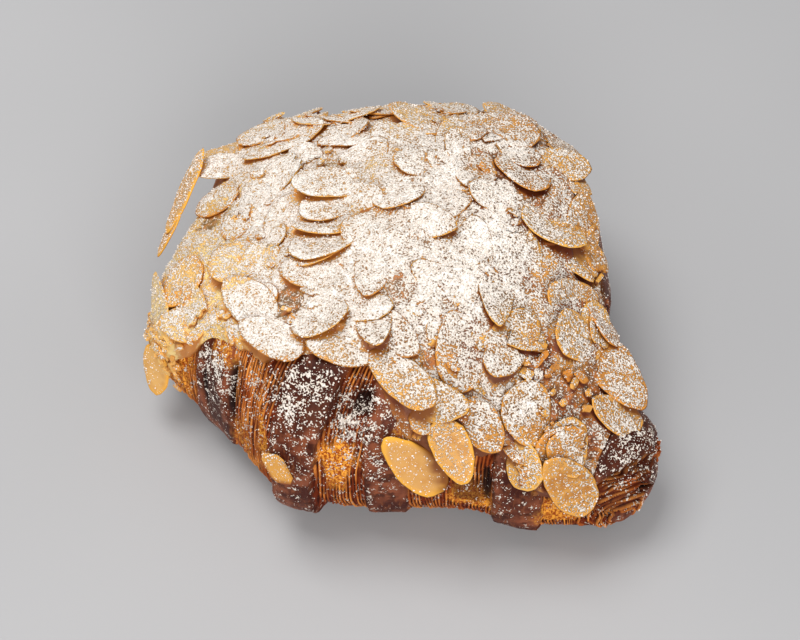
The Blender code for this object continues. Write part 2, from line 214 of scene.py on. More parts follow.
FLAKE_RINGS = (0.30, 0.55, 0.75, 0.88, 0.96, 1.0)
FLAKE_POINTS = 30
FLAKE_WOBBLES = ((2, 0.028), (3, 0.022), (7, 0.014), (12, 0.010))   # waves round, and depth
FULL_TURN = 6.3               # any phase, in radians
FLAKE_THINNESS = (0.72, 0.9)  # against the thickness in the part's solids
FLAKE_CUP = (-0.0035, 0.006)
FLAKE_TWIST = (-0.008, 0.008)
STREWN_SINK = 0.5             # how much deeper the strewn flakes lie under the sugar
STREWN_BREAKS = (0.0, 0.35, 0.0, 0.55, 0.15)   # where each in turn is broken off; 0 is whole
EXTRA_FLAKES = 58
EXTRA_BORDER = 14.0
EXTRA_LENGTH = (13.0, 22.0)
EXTRA_WIDTH = (0.5, 0.62)
EXTRA_LIFT = (-16, 16)
EXTRA_SEAT = (-0.7, 0.2)
EXTRA_BREAKS = (0.0, 0.2, 0.5, 0.0)

SLIVERS = 260
SLIVER_SIZE = ((1.6, 6.5), (1.2, 3.0), (0.7, 1.3))
SLIVER_LIFT = (0.1, 1.2)
SLIVER_TILT = (-25, 25)
SLIVER_JITTER = (-0.12, 0.12)
SLIVER_BEVEL = 0.18
CORNER_CRUMBS = 70
CRUMB_PLACE = (-60.0, -44.0)
CRUMB_ANGLE = (-2.0, 26.0)
CHIP_THICK = 1.2

SUGAR_DENSITY = (
    # place, angle, spread along, spread round, share
    (14, 88, 30, 40, 0.90), (-12, 66, 15, 24, 0.98), (46, 62, 18, 30, 0.74),
    (-30, 104, 24, 34, 0.92), (40, 40, 14, 14, 0.70), (-54, 100, 9, 14, 0.90),
    (-20, 54, 12, 10, 0.95),
)
CRUST_DENSITY = (
    (1, 43, 6, 7, 0.52), (-2, 33, 4, 6, 0.46), (14, 26, 5, 7, 0.74), (-31, 20, 6, 12, 0.6),
    (-32, 8, 4, 10, 0.5), (73, 74, 8, 20, 0.46), (62, 34, 6, 12, 0.5), (-50, 14, 8, 12, 0.55),
)
TOPPING_SUGAR = 0.60
CRUST_SUGAR = 0.30
WALL_SUGAR = 0.55             # what sticks to a wall, against a level place
OVERHANG = (-0.12, 0.05)      # upward part of the normal from which sugar sticks at all
BARE_RIM = 0.85               # how much of it is lost at a flake's rim
HOLLOW_LOSS = 0.62            # how much of it is lost in a toasted hollow
FLAKE_IN_HOLLOW = 0.55        # how much a flake shares in the hollow under it
BASE_BARE = 0.5               # below nothing, so that not one speck shows on the base
SUGAR_FROM = (1.0, 7.0)       # height over which the sugar begins
SKY = ((0.0, 0.0), (0.25, 0.0), (-0.25, 0.0), (0.0, 0.25), (0.0, -0.25))
SKY_LIFT = 0.35               # looks at the sky start this far off the surface
SKY_REACH = 50.0
TOAST_BAND = (-40.0, 34.0)    # places from which the topping is browner, and fully so
CORNER_PLACE = (-41.0, -47.0)     # the golden lower left corner
CORNER_ANGLE = (40.0, 28.0)
SUGAR_GRAINS = 23000
CRUST_GRAINS = 1300
GRAIN_SIZE = (0.11, 0.25)     # least half width, and what is added at most
GRAIN_GATHER = 1.6            # grains lie even more unevenly than the dusting

# --- view and light ----------------------------------------------------------------------
VIEW_AZIMUTH = 14.0
VIEW_ELEVATION = 54.0
VIEW_DISTANCE = 0.55
VIEW_TARGET = Vector((-0.0030, -0.0024, 0.028))
LENS = 85.3
FLOOR_HALF_WIDTH = 3.0
SKY_TINT = (1.0, 0.975, 0.94, 1.0)
SKY_STRENGTH = 0.43
LIGHT_TARGET = Vector((0.0, 0.0, 0.03))
LIGHTS = (
    # name, place, size, power, tint
    ("key", (-0.28, 0.04, 0.92), 0.45, 5.9, (1.0, 0.97, 0.92)),
    ("fill", (0.38, -0.88, 0.55), 0.8, 9.0, (1.0, 0.96, 0.91)),
)


def smoothstep(low, high, value):
    share = np.clip((value - low) / (high - low), 0.0, 1.0)
    return share * share * (3.0 - 2.0 * share)


def through(table, place, column=1):
    """Smooth curve through one column of a table whose first column is the place."""
    places = np.array([row[0] for row in table], float)
    values = np.array([row[column] for row in table], float)
    last = len(table) - 1
    before = np.maximum(np.arange(last + 1) - 1, 0)
    after = np.minimum(np.arange(last + 1) + 1, last)
    slopes = (values[after] - values[before]) / (places[after] - places[before])
    place = np.clip(place, places[0], places[-1])
    i = np.clip(np.searchsorted(places, place, side="left") - 1, 0, last - 1)
    gap = places[i + 1] - places[i]
    t = (place - places[i]) / gap
    rise = (2 * t - 3) * t * t
    curve = (rise + 1) * values[i] - rise * values[i + 1]
    curve = curve + ((t - 2) * t + 1) * t * gap * slopes[i]
    return curve + (t - 1) * t * t * gap * slopes[i + 1]


def powered(value, power):
    return np.sign(value) * np.abs(value) ** power


def skin(place, angle):
    """Points of the smooth pastry, in mm."""
    share = np.clip((place - MIDDLE) / HALF_LENGTH, -1.0, 1.0)
    rounding = np.where(share < 0, END_ROUNDING[0], END_ROUNDING[1])
    end = (1.0 - np.abs(share) ** rounding) ** (1.0 / rounding)
    centre = through(STATIONS, place, 1)
    width = through(STATIONS, place, 2) * end
    height = through(STATIONS, place, 3)
    waist = WAIST * height
    out = powered(np.cos(np.radians(angle)), 2.0 / SECTION_POWER)
    up = powered(np.sin(np.radians(angle)), 2.0 / SECTION_POWER)
    y = -width * out
    z = waist + end * up * np.where(up > 0, height - waist, waist + SUNK_BASE)
    x = place + y * np.where(y < 0, FRONT_SLANT, BACK_SLANT)
    return np.stack((x - PLAN_CENTRE[0], y + centre - PLAN_CENTRE[1], np.maximum(z, 0.0)), -1)


def unit(vectors):
    return vectors / np.maximum(np.linalg.norm(vectors, axis=-1, keepdims=True), 1e-9)


def skin_frame(place, angle):
    """Points, directions along the roll and round it, and outward normals."""
    place = np.clip(np.asarray(place, float), LEFT_END + END_CAP, RIGHT_END - END_CAP)
    angle = np.asarray(angle, float)
    along = unit(skin(place + HALF_STEP, angle) - skin(place - HALF_STEP, angle))
    round_ = skin(place, angle + HALF_TURN) - skin(place, angle - HALF_TURN)
    normal = unit(np.cross(along, round_))
    return skin(place, angle), along, np.cross(normal, along), normal


def waves(x, y, z):
    """Smooth noise in about -1..1 for arrays of coordinates."""
    x, y, z = np.broadcast_arrays(np.asarray(x, float), y, z)
    flat = zip(x.ravel().tolist(), y.ravel().tolist(), z.ravel().tolist())
    return np.array([noise.noise(point) for point in flat]).reshape(x.shape)


def wrap_parts(place, angle, ragged=0.0):
    """How far the wraps rise, and a mask that is 1 on their smooth skin."""
    up = smoothstep(0.0, SHOULDER_ANGLE, angle)
    rise = np.zeros(np.broadcast(place, angle).shape)
    smooth = np.zeros_like(rise)
    for number, (low_left, low_right, high_left, high_right, height) in enumerate(WRAPS):
        left = low_left + (high_left - low_left) * up
        right = low_right + (high_right - low_right) * up
        if ragged:
            left = left + ragged * wander(angle, 3.0 * number)
            right = right + ragged * wander(angle, 3.0 * number + 1.5)
        inside = smoothstep(left - WRAP_EDGE, left, place)
        inside = inside * (1.0 - smoothstep(right, right + WRAP_EDGE, place))
        rise = np.maximum(rise, height * inside)
        skin_left = left + SKIN_SHIFT[number] * up
        torn = smoothstep(skin_left - WRAP_EDGE, skin_left, place)
        smooth = np.maximum(smooth, np.minimum(inside, torn))
    return rise, smooth


def wander(angle, phase):
    return waves(angle * 0.07, phase, 0.0) + 0.5 * waves(angle * 0.28, phase, 5.0)


def spots(table, place, angle):
    """Soft blotches with ragged borders."""
    shift = waves(place * 0.35, angle * 0.12, 11.0)
    most = np.zeros_like(place)
    for middle, height, half_width, half_height, share in table:
        off = ((place - middle) / half_width) ** 2 + ((angle - height) / half_height) ** 2
        most = np.maximum(most, share * smoothstep(1.5, 0.4, off + 0.9 * shift))
    return most


def above_base(angle):
    """1 on the sides and the top, 0 on the flat base."""
    return (1.0 - smoothstep(*BASE_BACK, angle)) * smoothstep(*BASE_FRONT, angle)


def bareness(place, angle):
    """1 where the crust is bare, 0 under the topping and on the flat base."""
    front = through(FRONT_EDGE, place)
    back = through(BACK_EDGE, place)
    bare = 1.0 - smoothstep(front - 4.0, front + 10.0, angle)
    bare = np.maximum(bare, smoothstep(back - 10.0, back + 4.0, angle))
    bare = np.where(place > TOPPING_RIGHT, 1.0, bare)
    return bare * above_base(angle)


def cream_edge(table, place, phase):
    return through(table, place) + EDGE_WOBBLE * waves(place * 0.16, phase, 0.0)


def cream_height(place, angle):
    """Thickness of the cream: a thin rim, then a lumpy sheet."""
    place = np.asarray(place, float)
    front = cream_edge(FRONT_EDGE, place, FRONT_PHASE)
    back = cream_edge(BACK_EDGE, place, BACK_PHASE)
    inward = np.minimum(angle - front, back - angle)
    inward = np.minimum(inward, place - TOPPING_LEFT + 2.0)
    inward = np.minimum(inward, TOPPING_RIGHT - place)
    full = smoothstep(0.0, CREAM_TAPER, inward)
    lump = waves(place * 0.11, np.asarray(angle, float) * 0.08, 5.0)
    return CREAM_RIM + (CREAM_THICK - CREAM_RIM + CREAM_LUMP * lump) * full


def piece(name, mesh):
    made = bpy.data.objects.new(name, mesh)
    bpy.context.scene.collection.objects.link(made)
    return made


def mesh_arrays(mesh):
    """Corner positions and triangles of a mesh."""
    mesh.calc_loop_triangles()
    points = np.empty(len(mesh.vertices) * 3)
    mesh.vertices.foreach_get("co", points)
    corners = np.empty(len(mesh.loop_triangles) * 3, dtype=np.int32)
    mesh.loop_triangles.foreach_get("vertices", corners)
    return points.reshape(-1, 3), corners.reshape(-1, 3)


def template_arrays(made):
    """The same for a bmesh, which is used up."""
    mesh = bpy.data.meshes.new("template")
    made.to_mesh(mesh)
    made.free()
    points, corners = mesh_arrays(mesh)
    bpy.data.meshes.remove(mesh)
    return points, corners


def mesh_normals(mesh):
    normals = np.empty(len(mesh.vertices) * 3)
    mesh.vertex_normals.foreach_get("vector", normals)
    return normals.reshape(-1, 3)


def corner_values(mesh, name):
    values = np.empty(len(mesh.vertices), dtype=np.float32)
    mesh.attributes[name].data.foreach_get("value", values)
    return values


def add_values(mesh, name, values):
    layer = mesh.attributes.new(name, "FLOAT", "POINT")
    layer.data.foreach_set("value", np.ascontiguousarray(values, dtype=np.float32).ravel())


# --- pastry ------------------------------------------------------------------------------
def column_angle(turn):
    """Angle of each column: most of them lie on the bare front."""
    angle = np.zeros_like(turn, dtype=float)
    done = 0
    for count, first, last in PASTRY_COLUMNS:
        here = (turn >= done) & (turn < done + count)
        angle = np.where(here, first + (last - first) * (turn - done) / count, angle)
        done += count
    return angle


def layer_relief(run, angle):
    """Cut edges of the laminated dough: thin sheets, each at its own level."""
    sway = 1.5 * waves(run * 0.06, angle * 0.03, 1.0)
    sway = sway + 0.45 * waves(run * 0.25, angle * 0.10, 4.0)
    count = (run + sway) / LAYER_PITCH
    layer = np.floor(count)
    part = count - layer
    draw = random.Random(5)
    levels = np.array([draw.uniform(-1.0, 1.0) for _ in range(LAYER_LEVELS)])
    level = 0.5 * levels[(layer.astype(int) + 100) % LAYER_LEVELS]
    level = level + 1.3 * waves(layer * 3.7, angle * 0.07, 9.0)
    sheet = smoothstep(0.0, 0.25, part) * (1.0 - smoothstep(0.50, 0.92, part))
    height = LAYER_GROOVE * (sheet - 1.0) + LAYER_RAGGED * level * sheet
    return height, sheet, np.clip(0.5 + 0.5 * level, 0.0, 1.0)


def run_along(place):
    """Distance run along the skin of the roll, so that the layers go on round the tip."""
    steps = np.linspace(LEFT_END, RIGHT_END - 0.001, RUN_STEPS)
    path = skin(steps, np.full_like(steps, RUN_ANGLE))
    lengths = np.linalg.norm(np.diff(path, axis=0), axis=1)
    return np.interp(place, steps, np.concatenate(([0.0], np.cumsum(lengths))))


def slits(place, angle):
    """How deep the slits cut, and a mask of them, by which shade is painted into them."""
    cut = np.zeros_like(place)
    dark = np.zeros_like(place)
    for middle, height, half_width, half_height, depth in SLITS:
        off = (place - middle + SLIT_SLANT * (angle - height)) / half_width
        spread = np.exp(-off * off - ((angle - height) / half_height) ** 4)
        cut = cut + depth * spread
        dark = np.maximum(dark, spread)
    return cut, dark


def pastry_ball():
    """A ball of the pastry's rows and columns, and the place and angle of each corner."""
    columns = sum(span[0] for span in PASTRY_COLUMNS)
    ball = bmesh.new()
    bmesh.ops.create_uvsphere(ball, u_segments=columns, v_segments=PASTRY_ROWS, radius=1.0)
    bmesh.ops.recalc_face_normals(ball, faces=ball.faces)
    mesh = bpy.data.meshes.new("pastry")
    ball.to_mesh(mesh)
    ball.free()
    points, _ = mesh_arrays(mesh)
    row = np.arcsin(np.clip(points[:, 2], -1.0, 1.0)) / (0.5 * math.pi)
    share = np.sign(row) * (1.0 - (1.0 - np.abs(row)) ** PASTRY_CROWDING)
    # The ball's first column lies on the y axis, a quarter turn back from the x axis.
    turns = np.arctan2(-points[:, 1], points[:, 0]) / (2.0 * math.pi) + 0.25
    angle = column_angle(np.rint(turns * columns) % columns)
    return mesh, MIDDLE + HALF_LENGTH * share, np.where(angle < 270.0, angle, angle - 360.0)


def fill_ends(place, point, normal):
    """Draw the last rows in over the two blunt ends, and say how far out each corner is."""
    left = place < MIDDLE
    out = np.clip(np.where(left, place - LEFT_END, RIGHT_END - place) / END_CAP, 0.0, 1.0)
    out_by_row = out[:, None]
    angles = np.arange(-90.0, 270.0, 10.0)
    for side, end, way in ((left, LEFT_END + END_CAP, -1.0), (~left, RIGHT_END - END_CAP, 1.0)):
        core = skin(np.full_like(angles, end), angles).mean(0)
        ahead = np.array((way, 0.0, 0.0))
        filled = core + (point - core) * out_by_row + ahead * END_BULGE * (1.0 - out_by_row ** 2)
        point = np.where(side[:, None], filled, point)
        turned = unit(normal * out_by_row + ahead * (1.0 - out_by_row))
        normal = np.where(side[:, None], turned, normal)
    return point, normal, out


def make_pastry():
    mesh, place, angle = pastry_ball()
    point, _, _, normal = skin_frame(place, angle)
    point, normal, out = fill_ends(place, point, normal)
    rise, smooth = wrap_parts(place, angle, EDGE_RAGGED)
    reach = np.linalg.norm(point - np.array(TIP_CENTRE), axis=1)
    reach = reach + 0.8 * waves(place * 0.3, angle * 0.06, 21.0)
    tip = smoothstep(TIP_FROM - 4.0, TIP_FROM - 2.0, place)
    over = smoothstep(TIP_REACH - 0.6, TIP_REACH + 0.4, reach)
    crust_end = over * (1.0 - smoothstep(*TIP_CRUST_END, place))
    tip_smooth = np.maximum(crust_end, 1.0 - smoothstep(*TIP_CORE, reach))
    smooth = smooth * (1.0 - tip) + tip_smooth * tip
    smooth = np.maximum(smooth, smoothstep(1.0, 0.8, out))
    run = run_along(place) * (1.0 - tip) + reach * LAYER_PITCH / TIP_PITCH * tip

    layers, sheet, level = layer_relief(run, angle)
    layers = layers * (1.0 + 0.5 * tip)
    golden = spots(GOLDEN, place, angle)
    pores = np.abs(waves(point[:, 0] * 0.8, point[:, 1] * 0.8, point[:, 2] * 0.8))
    layers = layers * (1.0 - 0.8 * golden) + golden * (1.4 * pores - 0.5)
    wrinkle = 0.35 * waves(place * 0.16, angle * 0.05, 2.0)
    wrinkle = wrinkle + 0.14 * waves(place * 0.9, angle * 0.10, 6.0)
    lip = over - np.exp(-((reach - TIP_REACH + 1.3) / 0.8) ** 2)
    cut, slit_shade = slits(place, angle)
    relief = rise + (1.0 - smooth) * layers + smooth * wrinkle + tip * TIP_LIP * lip - cut

    moved = point + normal * (relief * bareness(place, angle))[:, None]
    moved[:, 2] = np.maximum(moved[:, 2], 0.0)
    mesh.vertices.foreach_set("co", (moved * MM).ravel())
    mesh.update()
    add_values(mesh, "smooth", np.maximum(smooth, 1.0 - above_base(angle)))
    add_values(mesh, "sheet", sheet)
    add_values(mesh, "level", level)
    add_values(mesh, "slit", slit_shade)
    add_values(mesh, "burnt", spots(BURNT, place, angle))
    add_values(mesh, "golden", golden)
    mesh.shade_smooth()
    return piece("pastry", mesh)


# --- almond cream ------------------------------------------------------------------------
def make_cream():
    """A lumpy sheet of baked almond cream, rooted a little inside the pastry."""
    sheet = bmesh.new()
    bmesh.ops.create_grid(sheet, x_segments=CREAM_GRID[0], y_segments=CREAM_GRID[1], size=1.0)
    count = len(sheet.verts)
    sheet.verts.ensure_lookup_table()
    flat = np.array([vert.co[:2] for vert in sheet.verts])
    place = TOPPING_LEFT + (TOPPING_RIGHT - TOPPING_LEFT) * 0.5 * (flat[:, 0] + 1.0)
    front = cream_edge(FRONT_EDGE, place, FRONT_PHASE) + 2.0 * waves(place * 0.5, 3.0, 0.0)
    back = cream_edge(BACK_EDGE, place, BACK_PHASE) + 2.0 * waves(place * 0.5, 8.0, 0.0)
    angle = front + (back - front) * 0.5 * (flat[:, 1] + 1.0)
    point, _, _, normal = skin_frame(place, angle)
    height = cream_height(place, angle) - HOLLOW_DEPTH * spots(HOLLOWS, place, angle)
    off = ((place - DRIFT_MIDDLE[0]) / DRIFT_SPREAD[0]) ** 2
    off = off + ((angle - DRIFT_MIDDLE[1]) / DRIFT_SPREAD[1]) ** 2
    drift = CREAM_DRIFT * np.exp(-off) * (1.0 + 0.9 * waves(place * 0.17, angle * 0.12, 15.0))
    x, y, z = point.T
    bubbles = drift + 0.45 * waves(x * 0.30, y * 0.30, z * 0.30)
    bubbles += 0.30 * waves(x * 0.8, y * 0.8, z * 0.8)
    bubbles += 0.25 * np.abs(waves(x * 1.7, y * 1.7, z * 1.7))
    edge = np.maximum(np.abs(flat[:, 0]), np.abs(flat[:, 1]))
    height = np.where(edge > 0.999, CREAM_LIP, height + bubbles * smoothstep(1.0, 0.96, edge))
    outer = point + normal * height[:, None]
    inner = point - normal * CREAM_ROOT
    made = bmesh.ops.extrude_face_region(sheet, geom=sheet.faces[:])
    sheet.verts.ensure_lookup_table()
    fresh = {item for item in made["geom"] if isinstance(item, bmesh.types.BMVert)}
    found = {tuple(np.round(flat[index], 6)): index for index in range(count)}
    for vert in sheet.verts:
        index = found[tuple(np.round(vert.co[:2], 6))]
        vert.co = Vector(outer[index] if vert in fresh else inner[index]) * MM
    bmesh.ops.recalc_face_normals(sheet, faces=sheet.faces)
    mesh = bpy.data.meshes.new("almond_cream")
    sheet.to_mesh(mesh)
    sheet.free()
    mesh.shade_smooth()
    return piece("almond_cream", mesh)


# --- flaked almonds ----------------------------------------------------------------------
def flake_template():
    """A thin round pebble with rounded rim, of unit radius, and each corner's own radius."""
    rings = len(FLAKE_RINGS)
    ball = bmesh.new()
    bmesh.ops.create_uvsphere(ball, u_segments=FLAKE_POINTS, v_segments=2 * rings, radius=1.0)
    bmesh.ops.recalc_face_normals(ball, faces=ball.faces)
    points, corners = template_arrays(ball)
    height = np.abs(points[:, 2])
    ring = np.rint(np.arccos(np.clip(height, 0.0, 1.0)) / (0.5 * math.pi) * rings)
    radius = np.array((0.0,) + FLAKE_RINGS)[ring.astype(int)]
    side = np.sign(np.where(height < 1e-6, 0.0, points[:, 2]))
    turn = np.arctan2(points[:, 1], points[:, 0])
    return radius, turn, side, corners


def seat_matrix(place, angle, height, turns):
    """Where a small thing sits on the skin; it is turned about its z, y and x axes."""
    point, along, round_, normal = (row[0] for row in skin_frame([place], [angle]))
    seat = Matrix(np.stack((along, round_, normal), 1).tolist()).to_4x4()
    matrix = Matrix.Translation(Vector(point + normal * height)) @ seat
    for axis, degrees in zip("ZYX", turns):
        matrix = matrix @ Matrix.Rotation(math.radians(degrees), 4, axis)
    return np.array(matrix)


def shape_flake(template, flake, height, draw, broken=0.0):
    """Corners of one flake in mm, placed on the skin."""
    radius, turn, side, _ = template
    place, angle, heading, length, width, side_lift, end_lift = flake[:7]
    wobble = np.ones_like(turn)
    for count, depth in FLAKE_WOBBLES:
        wobble += depth * np.sin(count * turn + draw.uniform(0, FULL_TURN))
    x = radius * wobble * np.cos(turn)
    y = radius * wobble * np.sin(turn)
    if broken:
        cut = broken + 0.05 * np.sin(9 * y + draw.uniform(0, FULL_TURN)) + 0.04 * np.sin(23 * y)
        x = np.minimum(x, cut)
    y = y * (1.0 - FLAKE_TAPER * x) * 0.5 * width
    x = x * 0.5 * length
    thick = 0.5 * FLAKE_THICK * draw.uniform(*FLAKE_THINNESS)
    z = side * thick * np.sqrt(np.maximum(1.0 - radius ** 5, 0.0)) * (0.90 + 0.1 * radius)
    z = z + 0.5 * FLAKE_THICK
    cup = draw.uniform(*FLAKE_CUP)
    twist = draw.uniform(*FLAKE_TWIST)
    z = z + cup * x * x + twist * x * y + 0.10 * np.sin(0.5 * x + draw.uniform(0, FULL_TURN))
    z = z - cup * 0.125 * length * length
    matrix = seat_matrix(place, angle, height, (heading, -end_lift, -side_lift))
    return np.stack((x, y, z), -1) @ matrix[:3, :3].T + matrix[:3, 3]


def strewn_flakes():
    """The same even strewing as the part's own flakes."""
    draw = random.Random(FILL_SEED)
    middles = [skin(np.float64(flake[0]), np.float64(flake[1])) for flake in SET_FLAKES]
    strewn = []
    for _ in range(FILL_TRIES):
        place = draw.uniform(FILL_LEFT, FILL_RIGHT)
        front = float(through(FRONT_EDGE, place)) + FILL_BORDER
        back = float(through(BACK_EDGE, place)) - FILL_BACK_BORDER
        angle = draw.uniform(front, back)
        heading = draw.uniform(0.0, 360.0)
        length = draw.uniform(*FILL_LENGTH)
        width = length * draw.uniform(*FILL_WIDTH)
        side_lift = draw.uniform(-FILL_LIFT, FILL_LIFT)
        end_lift = draw.uniform(-FILL_LIFT, FILL_LIFT)
        middle = skin(np.float64(place), np.float64(angle))
        if min(np.linalg.norm(middle - other) for other in middles) < FILL_SPACING:
            continue
        middles.append(middle)
        strewn.append((place, angle, heading, length, width, side_lift, end_lift, FILL_SEAT))
    return strewn


def spare_place(draw, border):
    place = draw.uniform(TOPPING_LEFT + 8.0, TOPPING_RIGHT - 8.0)
    front = float(through(FRONT_EDGE, place)) + border
    back = float(through(BACK_EDGE, place)) - border
    return place, draw.uniform(front, back)


def joined_mesh(name, shapes, corners, values):
    """One mesh from many copies of a template, with one value a corner for each attribute."""
    count = len(shapes[0])
    points = np.concatenate(shapes) * MM
    faces = np.concatenate([corners + number * count for number in range(len(shapes))])
    mesh = bpy.data.meshes.new(name)
    mesh.vertices.add(len(points))
    mesh.vertices.foreach_set("co", points.ravel())
    mesh.loops.add(faces.size)
    mesh.loops.foreach_set("vertex_index", faces.ravel().astype(np.int32))
    mesh.polygons.add(len(faces))
    mesh.polygons.foreach_set("loop_start", np.arange(len(faces), dtype=np.int32) * 3)
    mesh.update(calc_edges=True)
    mesh.validate()
    for key, series in values.items():
        add_values(mesh, key, np.concatenate(series))
    mesh.shade_smooth()
    return piece(name, mesh)


def make_flakes():
    template = flake_template()
    radius = template[0]
    draw = random.Random(17)
    shapes = []
    tones = []
    bare = []

    def add(flake, height, broken=0.0, clean=0.0):
        shapes.append(shape_flake(template, flake, height, draw, broken))
        tones.append(np.full(len(radius), draw.random()))
        bare.append(np.full(len(radius), clean))

    for number, flake in enumerate(SET_FLAKES + (CORNER_FLAKE,)):
        flake = LOOSE_FLAKES.get(number, flake)
        seat = float(cream_height(flake[0], flake[1])) - FLAKE_SINK + flake[7]
        add(flake, seat, clean=BARE_FLAKES.get(number, 0.0))
    for number, flake in enumerate(strewn_flakes()):
        seat = float(cream_height(flake[0], flake[1])) - FLAKE_SINK + flake[7] - STREWN_SINK
        add(flake, seat, broken=STREWN_BREAKS[number % len(STREWN_BREAKS)])
    for _ in range(EXTRA_FLAKES):
        place, angle = spare_place(draw, EXTRA_BORDER)
        if spots(HOLLOWS, np.array([place]), np.array([angle]))[0] > 0.3:
            continue
        length = draw.uniform(*EXTRA_LENGTH)
        flake = (place, angle, draw.uniform(0, 360), length, length * draw.uniform(*EXTRA_WIDTH),
                 draw.uniform(*EXTRA_LIFT), draw.uniform(*EXTRA_LIFT))
        seat = float(cream_height(place, angle)) + draw.uniform(*EXTRA_SEAT)
        add(flake, seat, broken=draw.choice(EXTRA_BREAKS))
    values = {"tone": tones, "clean": bare, "rim": [radius] * len(shapes)}
    return joined_mesh("flaked_almonds", shapes, template[3], values)


def sliver_template():
    chip = bmesh.new()
    bmesh.ops.create_cube(chip, size=1.0)
    bmesh.ops.bevel(chip, geom=chip.edges[:], offset=SLIVER_BEVEL, offset_type="OFFSET",
                    segments=1, profile=0.5, affect="EDGES", material=-1)
    bmesh.ops.triangulate(chip, faces=chip.faces)
    return template_arrays(chip)


def make_slivers():
    """Broken bits of almond and baked crumbs of cream, strewn between the flakes."""
    points, corners = sliver_template()
    draw = random.Random(23)
    shapes = []
    tones = []
    for number in range(SLIVERS + CORNER_CRUMBS):
        place, angle = spare_place(draw, 0.0)
        size = tuple(draw.uniform(*span) for span in SLIVER_SIZE)
        if number >= SLIVERS:
            place, angle = draw.uniform(*CRUMB_PLACE), draw.uniform(*CRUMB_ANGLE)
            size = (0.6 * size[0], 0.8 * size[1], size[2])
        height = float(cream_height(place, angle)) + draw.uniform(*SLIVER_LIFT)
        turns = (draw.uniform(0, 360), draw.uniform(*SLIVER_TILT), draw.uniform(*SLIVER_TILT))
        matrix = seat_matrix(place, angle, height, turns)
        jitter = np.array([[draw.uniform(*SLIVER_JITTER) for _ in range(3)] for _ in points])
        shapes.append(((points + jitter) * size) @ matrix[:3, :3].T + matrix[:3, 3])
        tones.append(np.full(len(points), draw.random()))
    chip_height = float(wrap_parts(CHIP[0], CHIP[1])[0]) + CHIP_HEIGHT
    matrix = seat_matrix(CHIP[0], CHIP[1], chip_height, (CHIP[2], 0, 0))
    shapes.append((points * (CHIP[3], CHIP[4], CHIP_THICK)) @ matrix[:3, :3].T + matrix[:3, 3])
    tones.append(np.full(len(points), 0.9))
    clean = [np.zeros(len(points))] * (len(shapes) - 1) + [np.full(len(points), 0.25)]
    rims = [np.full(len(points), 0.9)] * len(shapes)
    made = joined_mesh("almond_bits", shapes, corners, {"tone": tones, "clean": clean, "rim": rims})
    made.data.shade_flat()
    return made


# --- icing sugar ------------------------------------------------------------------------
def sugar_density(place, angle, everywhere, table):
    share = np.full(np.shape(place), everywhere)
    for middle, height, along, round_, peak in table:
        off = ((place - middle) / along) ** 2 + ((angle - height) / round_) ** 2
        share = np.maximum(share, peak * np.exp(-0.5 * off * off))
    return share


def skin_grid():
    """A coarse table of the skin, to find which place and angle a point lies over."""
    places = np.linspace(LEFT_END + 1.0, RIGHT_END - 1.0, 76)
    angles = np.linspace(-30.0, 205.0, 95)
    place, angle = np.meshgrid(places, angles, indexing="ij")
    return skin(place, angle).reshape(-1, 3), place.ravel(), angle.ravel()


def nearest_skin(points, grid):
    """Place and angle of the skin nearest to each point, in mm."""
    on_skin, places, angles = grid
    tree = KDTree(len(on_skin))
    for number, point in enumerate(on_skin.tolist()):
        tree.insert(point, number)
    tree.balance()
    index = np.array([tree.find(point)[1] for point in points.tolist()])
    return places[index], angles[index]


def open_sky(points, normals, tree):
    """Share of the sky that each corner sees, in a few directions near straight up."""
    lifted = points + normals * SKY_LIFT * MM + np.array((0.0, 0.0, 0.1 * MM))
    share = np.zeros(len(points))
    for number in np.nonzero(normals[:, 2] > OVERHANG[0])[0].tolist():
        origin = Vector(lifted[number])
        free = sum(tree.ray_cast(origin, Vector((x, y, 1.0)), SKY_REACH * MM)[0] is None
                   for x, y in SKY)
        share[number] = free / len(SKY)
    return share


def sift(pieces):
    """How much falling sugar reaches each corner: open sky above it, and how flat it lies."""
    points = []
    faces = []
    start = 0
    for made in pieces:
        corners, triangles = mesh_arrays(made.data)
        points.append(corners)
        faces.append(triangles + start)
        start += len(corners)
    tree = BVHTree.FromPolygons(np.concatenate(points).tolist(), np.concatenate(faces).tolist())
    grid = skin_grid()
    for made, corners in zip(pieces, points):
        normals = mesh_normals(made.data)
        sky = open_sky(corners, normals, tree)
        place, angle = nearest_skin(corners / MM, grid)
        level = WALL_SUGAR + (1.0 - WALL_SUGAR) * smoothstep(0.0, 0.6, normals[:, 2])
        lying = smoothstep(*OVERHANG, normals[:, 2]) * level
        if made.name == "pastry":
            density = sugar_density(place, angle, CRUST_SUGAR, CRUST_DENSITY)
        else:
            hollow = spots(HOLLOWS, place, angle)
            if made.name == "flaked_almonds":
                hollow = hollow * FLAKE_IN_HOLLOW
            density = sugar_density(place, angle, TOPPING_SUGAR, SUGAR_DENSITY)
            density = density * (1.0 - HOLLOW_LOSS * hollow)
            add_values(made.data, "toasted", hollow)
        if made.name == "flaked_almonds":
            faces_out = smoothstep(0.92, 0.55, normals[:, 2])
            at_rim = smoothstep(0.93, 0.99, corner_values(made.data, "rim"))
            density = density * (1.0 - BARE_RIM * at_rim * faces_out)
        low = smoothstep(*SUGAR_FROM, corners[:, 2] / MM)
        add_values(made.data, "sugar", sky * lying * density * low - BASE_BARE * (1.0 - low))
        wandering = place + 6.0 * waves(place * 0.1, angle * 0.05, 3.0)
        add_values(made.data, "toast", smoothstep(*TOAST_BAND, wandering))
        # The open sky is kept too: the finishes paint shade where it is small, under flakes and
        # other things, and the golden lower left corner counts as fully open, so that no shade is
        # painted there.
        corner = smoothstep(*CORNER_PLACE, place) * smoothstep(*CORNER_ANGLE, angle)
        add_values(made.data, "open", np.maximum(sky, corner))


